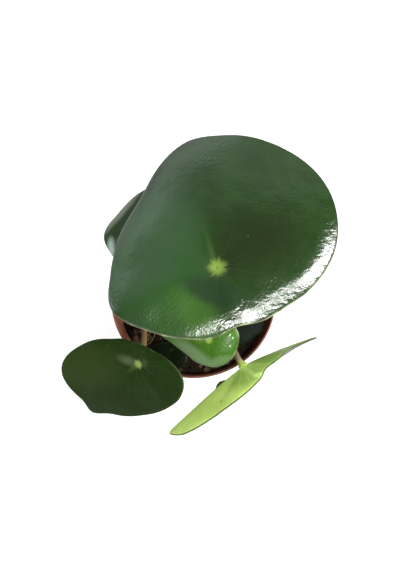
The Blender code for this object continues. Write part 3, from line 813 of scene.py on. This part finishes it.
def new_group(name, inputs, outputs):
    """A shader node group with named sockets: its tree, its inputs' outputs and its outputs' inputs."""
    tree = bpy.data.node_groups.new(name, "ShaderNodeTree")
    kinds = {"vector": "NodeSocketVector", "value": "NodeSocketFloat"}
    for label, kind, start in inputs:
        socket = tree.interface.new_socket(label, in_out="INPUT", socket_type=kinds[kind])
        socket.default_value = start
    for label in outputs:
        tree.interface.new_socket(label, in_out="OUTPUT", socket_type="NodeSocketFloat")
    return tree, tree.nodes.new("NodeGroupInput").outputs, tree.nodes.new("NodeGroupOutput").inputs


def blade_markings():
    """Group: the ragged pale spot over the joint, its dark eye, the middle vein and the fine veins."""
    tree, given, out = new_group("blade markings", (
        ("Place", "vector", (0, 0, 0)), ("Spot Radius", "value", 3.0), ("Vein Count", "value", 9.0),
        ("Vein Width", "value", 0.5), ("Vein Reach", "value", 30.0), ("Midrib Reach", "value", 20.0)),
        ("Spot", "Eye", "Veins", "Midrib"))
    place = given["Place"]
    spot = given["Spot Radius"]
    distance = vectors(tree, "LENGTH", place).outputs["Value"]
    ray = vectors(tree, "NORMALIZE", place).outputs["Vector"]
    ragged = times(tree, spot, times_plus(tree, clouds(tree, ray, SPOT_RAY_SCALE), 1.5, 0.3))
    tree.links.new(fade(tree, distance, ragged, times(tree, ragged, 0.2)), out["Spot"])
    eye = fade(tree, distance, times(tree, spot, EYE_RADIUS), times(tree, spot, EYE_RADIUS / 3))
    tree.links.new(eye, out["Eye"])

    across = coordinate(tree, place, "X")
    upward = coordinate(tree, place, "Y")
    warp = clouds(tree, place, VEIN_WARP_SCALE, 1.0)
    half_turns = times(tree, given["Vein Count"], 0.5)
    wave = times_plus(tree, maths(tree, "ARCTAN2", across, upward), half_turns,
                      times_plus(tree, warp, 2.2, -1.1))
    off = times(tree, maths(tree, "ABSOLUTE", maths(tree, "SINE", wave)), distance)
    line = fade(tree, maths(tree, "DIVIDE", off, half_turns), given["Vein Width"], 0.0)
    near = times(tree, fade(tree, distance, given["Vein Reach"], VEIN_START),
                 fade(tree, distance, 1.0, VEIN_START))
    tree.links.new(times(tree, line, near), out["Veins"])

    bent = maths(tree, "ADD", across, times_plus(tree, warp, -3.0, 1.5))
    middle = fade(tree, maths(tree, "ABSOLUTE", bent), MIDRIB_HALF_WIDTH, 0.1)
    length = times(tree, fade(tree, upward, given["Midrib Reach"], MIDRIB_START),
                   fade(tree, upward, 0.0, MIDRIB_START))
    tree.links.new(times(tree, middle, length), out["Midrib"])
    return tree


def leaf_skin():
    """Group: soft clouding of the green, scattered pale dots, the relief, and where the skin is satin."""
    tree, given, out = new_group("leaf skin", (
        ("Place", "vector", (0, 0, 0)), ("Inset", "value", 20.0), ("Cloud Size", "value", 14.0),
        ("Dot Spacing", "value", 9.0), ("Crumple", "value", 1.0)),
        ("Cloud", "Dots", "Relief", "Sheen"))
    place = given["Place"]
    inset = given["Inset"]
    cloud = clouds(tree, place, maths(tree, "DIVIDE", 1.0, given["Cloud Size"]), 7.0, 0.68)
    tree.links.new(fade(tree, cloud, 0.30, 0.70), out["Cloud"])

    dots_per_mm = maths(tree, "DIVIDE", 1.0, given["Dot Spacing"])
    cells = add(tree, "TexVoronoi", {"Vector": place, "Scale": dots_per_mm})
    near = times(tree, cells.outputs["Distance"], given["Dot Spacing"])
    pick = add(tree, "SeparateColor", {0: cells.outputs["Color"]}).outputs["Red"]
    size = times(tree, fade(tree, pick, 0.55, 1.0), DOT_RADIUS)
    tree.links.new(fade(tree, near, maths(tree, "ADD", size, 0.02), 0.0), out["Dots"])

    across = coordinate(tree, place, "X")
    upward = coordinate(tree, place, "Y")
    lower_right = times(tree, fade(tree, upward, 16.0, -2.0), fade(tree, across, -14.0, -5.0))
    left = times(tree, fade(tree, across, -18.0, -36.0), fade(tree, upward, -10.0, 6.0))
    glossy = times(tree, fade(tree, inset, 13.0, 7.0), lower_right)

    along = add(tree, "Mapping", {"Vector": place, "Rotation": (0, 0, -CREASE_TURN),
                                  "Scale": CREASE_STRETCH}).outputs["Vector"]
    crease = times_plus(tree, clouds(tree, along, PUCKER_SCALE), PUCKER_HEIGHT,
                        clouds(tree, along, CREASE_SCALE, distortion=0.8))
    depth = times_plus(tree, lower_right, 0.85, times_plus(tree, left, 0.4, 0.15))
    depth = times(tree, given["Crumple"], depth)
    at_margin = times(tree, fade(tree, inset, 15.0, 4.0), depth)
    grain = times(tree, clouds(tree, place, GRAIN_SCALE),
                  times_plus(tree, glossy, GLOSSY_GRAIN_HEIGHT - GRAIN_HEIGHT, GRAIN_HEIGHT))
    relief = times_plus(tree, clouds(tree, place, PEBBLE_SCALE), PEBBLE_HEIGHT, grain)
    tree.links.new(times_plus(tree, crease, at_margin, relief), out["Relief"])

    satin = maths(tree, "MAXIMUM", fade(tree, across, 6.0, -8.0), fade(tree, upward, 14.0, 32.0))
    satin = maths(tree, "MAXIMUM", satin, glossy)
    sheen = times_plus(tree, clouds(tree, place, SHEEN_SCALE), 0.35, times(tree, satin, 0.5))
    tree.links.new(sheen, out["Sheen"])
    return tree


def soft_patch():
    """Group: 1 inside a turned oval of the blade's plane and 0 outside it, with a soft edge."""
    tree, given, out = new_group("soft patch", (
        ("Place", "vector", (0, 0, 0)), ("Centre", "vector", (0, 0, 0)),
        ("Half Sizes", "vector", (1, 1, 1)), ("Turn", "value", 0.0), ("Softness", "value", 0.3)),
        ("Mask",))
    moved = vectors(tree, "SUBTRACT", given["Place"], given["Centre"]).outputs["Vector"]
    turned_to = add(tree, "VectorRotate", {"Vector": moved, "Angle": given["Turn"]},
                    rotation_type="Z_AXIS").outputs["Vector"]
    scaled = vectors(tree, "DIVIDE", turned_to, given["Half Sizes"]).outputs["Vector"]
    wobble = times_plus(tree, clouds(tree, given["Place"], PATCH_WOBBLE_SCALE), 0.3, -0.15)
    distance = maths(tree, "ADD", vectors(tree, "LENGTH", scaled).outputs["Value"], wobble)
    low = maths(tree, "SUBTRACT", 1.0, given["Softness"])
    high = maths(tree, "ADD", 1.0, given["Softness"])
    tree.links.new(fade(tree, distance, high, low), out["Mask"])
    return tree


def blank_finish(name, roughness, constants=None):
    """A new material with constants on its Principled shader: itself, its tree and the shader."""
    material = bpy.data.materials.new(name)
    material.use_nodes = True
    shader = material.node_tree.nodes["Principled BSDF"]
    for socket, value in {"Roughness": roughness, **(constants or {})}.items():
        shader.inputs[socket].default_value = value
    return material, material.node_tree, shader


def roughen(tree, shader, height, distance):
    """Feed a pattern's height to the shader's normal; the distance is what a height of 1 stands for."""
    bump = add(tree, "Bump", {"Strength": 1.0, "Distance": distance, "Height": height})
    tree.links.new(bump.outputs["Normal"], shader.inputs["Normal"])


def laid_with_light_and_tones(tree, place, colour, light_and_tone_patches, patch_group):
    """The colour with each patch of light and tone of the blade laid over it; most are painted light and
    shade.
    """
    for centre, half, turn, softness, tone, strength in light_and_tone_patches:
        mask = add(tree, "Group", {"Place": place, "Centre": (*centre, 0), "Half Sizes": (*half, 1),
                                   "Turn": math.radians(turn), "Softness": softness},
                   node_tree=patch_group)
        colour = tinted(tree, colour, mask.outputs["Mask"], strength, tone)
    return colour


def blade_groups(tree, look, groups, veins):
    """The markings and the skin placed in a material: both nodes, the place on the blade and the inset."""
    place = add(tree, "UVMap", uv_map="blade").outputs["UV"]
    inset = add(tree, "Attribute", attribute_name="inset").outputs["Fac"]
    marks = add(tree, "Group", {"Place": place, "Spot Radius": look["spot"][0], **veins},
                node_tree=groups["markings"])
    skin = add(tree, "Group", {"Place": place, "Inset": inset, "Crumple": look["crumple"]},
               node_tree=groups["skin"])
    return marks, skin, place, inset


def upper_finish(name, look, groups):
    """The glossy upper face of a blade. Its thin rim is dark, and pale at the side of the notch:
    its own pale edge with a painted highlight on it.
    """
    material, tree, shader = blank_finish(
        name, 0.3, {"Specular IOR Level": look["shine"], "IOR": look["index"]})
    marks, skin, place, inset = blade_groups(tree, look, groups, {"Midrib Reach": look["midrib"]})
    spot_colour = look["spot"][1]
    eye_colour = tuple(EYE_SHADE * part for part in spot_colour)
    colour = mixed(tree, skin.outputs["Cloud"], look["deep"], look["fresh"])
    colour = laid_with_light_and_tones(tree, place, colour, look["light_and_tone_patches"], groups["patch"])
    for mask, strength, tone in (
            (marks.outputs["Veins"], look["veins"], spot_colour),
            (marks.outputs["Midrib"], 0.10, spot_colour),
            (marks.outputs["Spot"], 0.9, spot_colour),
            (marks.outputs["Eye"], 0.7, eye_colour),
            (skin.outputs["Dots"], 0.5, DOT_COLOUR)):
        colour = tinted(tree, colour, mask, strength, tone)
    # At the notch's side the rim is pale: its own pale edge with a painted highlight on it.
    below = fade(tree, coordinate(tree, place, "Y"), 0.0, -12.0)
    patchy = fade(tree, clouds(tree, place, RIM_PATCH_SCALE), 0.40, 0.62)
    pale_and_lit_rim = mixed(tree, patchy, RIM_BROWN, RIM_PALE_AND_HIGHLIGHT)
    rim_colour = mixed(tree, times(tree, below, look["edge"]), RIM_DARK, pale_and_lit_rim)
    colour = tinted(tree, colour, fade(tree, inset, RIM_INSET, 0.2), 0.8, rim_colour)
    tree.links.new(colour, shader.inputs["Base Color"])
    gloss = spread(tree, skin.outputs["Sheen"], (0.3, 0.7), look["gloss"])
    tree.links.new(gloss, shader.inputs["Roughness"])
    height = times_plus(tree, marks.outputs["Veins"], -0.04, skin.outputs["Relief"])
    height = times_plus(tree, marks.outputs["Midrib"], -0.25, height)
    roughen(tree, shader, height, 0.5 * MM)
    return material


def underside_finish(name, look, groups):
    """The paler, smoother underside of a blade, with raised veins, which light shines through,
    and its glow: emission that paints in that light.
    """
    material, tree, shader = blank_finish(name, 0.42, {
        "Emission Strength": look["glow"], "Subsurface Weight": 0.5,
        "Subsurface Radius": (0.8, 1.0, 0.4), "Subsurface Scale": 4 * MM})
    vein_count, vein_strength, vein_colour = look["veins"]
    marks, skin, place, inset = blade_groups(tree, look, groups, {
        "Vein Count": vein_count, "Vein Width": 0.8, "Vein Reach": 60.0})
    colour = mixed(tree, skin.outputs["Cloud"], look["deep"], look["fresh"])
    colour = laid_with_light_and_tones(tree, place, colour, look["light_and_tone_patches"], groups["patch"])
    colour = tinted(tree, colour, marks.outputs["Veins"], vein_strength, vein_colour)
    colour = mixed(tree, marks.outputs["Spot"], colour, look["spot"][1])
    colour = mixed(tree, fade(tree, inset, RIM_INSET, 0.25), colour, RIM_UNDER)
    tree.links.new(colour, shader.inputs["Base Color"])
    # painted light: the colour also glows, standing for the light that shines through the blade
    tree.links.new(colour, shader.inputs["Emission Color"])
    height = times_plus(tree, marks.outputs["Veins"], 0.3, skin.outputs["Relief"])
    roughen(tree, shader, height, 0.3 * MM)
    return material


def stalk_finish(name, foot_colour, head_colour, shade_colour, greens_at):
    """A fleshy stalk: one colour at its foot, another from a share of its length on, and fine streaks."""
    material, tree, shader = blank_finish(name, 0.4)
    wrap = add(tree, "UVMap", uv_map="wrap").outputs["UV"]
    along = fade(tree, coordinate(tree, wrap, "Y"), greens_at, 0.99)
    stretched = add(tree, "Mapping", {"Vector": wrap, "Scale": STREAK_STRETCH}).outputs["Vector"]
    streaks = clouds(tree, stretched, 1.0, 3.0)
    colour = mixed(tree, along, foot_colour, head_colour)
    colour = tinted(tree, colour, fade(tree, streaks, 0.45, 0.75), 0.5, shade_colour)
    tree.links.new(colour, shader.inputs["Base Color"])
    roughen(tree, shader, streaks, 0.15 * MM)
    return material


def soil_finish():
    """Moist peat: dark crumbs with lighter brown ones among them, also darkened as painted shade."""
    material, tree, shader = blank_finish("peat", 0.9, {"Specular IOR Level": 0.1})
    place = add(tree, "TexCoord").outputs["Object"]
    fine = clouds(tree, place, DUST_SCALE, 4.0, 0.65)
    crumbs = add(tree, "TexVoronoi", {"Vector": place, "Scale": 420.0})
    pick = add(tree, "SeparateColor", {0: crumbs.outputs["Color"]}).outputs["Red"]
    # partly painted shade: the peat's colours are kept very dark for the shadow inside the pot
    colour = mixed(tree, fade(tree, fine, 0.3, 0.7), (0.004, 0.0028, 0.0022), (0.020, 0.012, 0.0075))
    colour = tinted(tree, colour, fade(tree, pick, 0.86, 0.94), 0.8, (0.08, 0.05, 0.03))
    tree.links.new(colour, shader.inputs["Base Color"])
    roughen(tree, shader, maths(tree, "ADD", fine, crumbs.outputs["Distance"]), 0.5 * MM)
    return material


def fibre_finish():
    """Pale dry root and coir fibres."""
    material, tree, shader = blank_finish("coir fibre", 0.7)
    place = add(tree, "TexCoord").outputs["Object"]
    tint = fade(tree, clouds(tree, place, 120.0), 0.35, 0.65)
    colour = mixed(tree, tint, (0.10, 0.06, 0.035), (0.34, 0.24, 0.14))
    tree.links.new(colour, shader.inputs["Base Color"])
    return material


def pot_finish():
    """Terracotta-coloured moulded plastic, with dust and scuffs, and painted light on its left side."""
    material, tree, shader = blank_finish("terracotta plastic", 0.42)
    place = add(tree, "TexCoord").outputs["Object"]
    cloud = clouds(tree, place, 45.0, 4.0)
    dust = clouds(tree, place, DUST_SCALE, 3.0)
    # painted light: the pot is lighter on its left, where light falls on the rim
    painted_light_left = fade(tree, coordinate(tree, place, "X"), -12 * MM, -34 * MM)
    colour = mixed(tree, fade(tree, cloud, 0.3, 0.7), (0.100, 0.026, 0.012), (0.145, 0.040, 0.020))
    colour = tinted(tree, colour, painted_light_left, 0.85, (0.31, 0.115, 0.068))
    colour = tinted(tree, colour, fade(tree, dust, 0.58, 0.72), 0.25, (0.07, 0.035, 0.025))
    tree.links.new(colour, shader.inputs["Base Color"])
    tree.links.new(spread(tree, cloud, (0.3, 0.7), (0.36, 0.52)), shader.inputs["Roughness"])
    roughen(tree, shader, dust, 0.08 * MM)
    return material


def dress():
    """Build every fine piece with its finish."""
    groups = {"markings": blade_markings(), "skin": leaf_skin(), "patch": soft_patch()}
    brown_stalk = stalk_finish("brown stalk", (0.26, 0.17, 0.07), (0.30, 0.40, 0.08),
                               (0.12, 0.07, 0.03), 0.9)
    pink_stalk = stalk_finish("pink stalk", (0.085, 0.062, 0.022), (0.34, 0.46, 0.08),
                              (0.06, 0.05, 0.012), 0.9)
    stem_bark = stalk_finish("stem bark", (0.16, 0.10, 0.05), (0.12, 0.14, 0.05),
                             (0.08, 0.05, 0.03), 0.45)
    for name, leaf in LEAVES.items():
        under = UNDERSIDE_LOOKS.get(name, UNDERSIDE_LOOKS["plain"])
        finishes = (upper_finish(f"{name} upper face", LOOKS[name], groups),
                    underside_finish(f"{name} underside", under, groups))
        make_blade(name, leaf, finishes)
        make_stalk(name, leaf, pink_stalk if name == "hanging_leaf" else brown_stalk)
    make_stem(stem_bark)
    make_pot(pot_finish())
    make_soil(soil_finish(), fibre_finish())


def area_light(name, bearing, rise, wide, high, radiance, colour):
    """A soft rectangular light that looks at the plant, with its brightness as radiance."""
    lamp = bpy.data.lights.new(name, "AREA")
    lamp.shape = "RECTANGLE"
    lamp.size = wide
    lamp.size_y = high
    lamp.energy = radiance * math.pi * wide * high
    lamp.color = colour
    obj = in_scene(name, lamp)
    away = heading(bearing, rise)
    obj.location = VIEW_AIM + away * LIGHT_DISTANCE
    obj.rotation_euler = away.to_track_quat("Z", "Y").to_euler()
    obj.visible_camera = False


def light_and_floor():
    """A pale floor in a dim room, with its lights. Floor and backdrop look brighter than they shine."""
    for light in LIGHTS:
        area_light(*light)
    world = bpy.data.worlds.new("studio")
    bpy.context.scene.world = world
    world.use_nodes = True
    tree = world.node_tree
    backdrop = tree.nodes["Background"]
    backdrop.inputs["Color"].default_value = (0.95, 0.97, 1.0, 1.0)
    seen = add(tree, "LightPath").outputs["Is Camera Ray"]
    strength = times_plus(tree, seen, BACKDROP_SEEN - ROOM_GLOW, ROOM_GLOW)
    tree.links.new(strength, backdrop.inputs["Strength"])
    bm = bmesh.new()
    bmesh.ops.create_grid(bm, x_segments=1, y_segments=1, size=FLOOR_HALF_SIZE)
    bmesh.ops.translate(bm, verts=bm.verts, vec=(0, 0, -0.1 * MM))
    floor = new_piece("floor", bm)
    material, tree, shader = blank_finish("pale floor", 0.8, {
        "Base Color": (0.50, 0.50, 0.50, 1), "Emission Color": (1, 1, 1, 1)})
    seen = add(tree, "LightPath").outputs["Is Camera Ray"]
    tree.links.new(times(tree, seen, FLOOR_SEEN), shader.inputs["Emission Strength"])
    floor.data.materials.append(material)


def camera():
    """The photograph's camera."""
    lens = bpy.data.cameras.new("camera")
    lens.sensor_width = SENSOR_MM
    lens.lens = FOCAL_PX / IMAGE_LONG_SIDE_PX * SENSOR_MM
    lens.clip_start = 0.01
    rise = math.radians(VIEW_RISE)
    back = Vector((0, -math.cos(rise), math.sin(rise)))
    up = Vector((0, math.sin(rise), math.cos(rise)))
    right = Vector((1, 0, 0))
    obj = in_scene("camera", lens)
    turned_to = Matrix((right, up, back)).transposed().to_4x4()
    obj.matrix_world = Matrix.Translation(VIEW_AIM + back * VIEW_DISTANCE) @ turned_to
    bpy.context.scene.camera = obj


dress()
light_and_floor()
camera()
bpy.context.scene.view_settings.view_transform = "Standard"
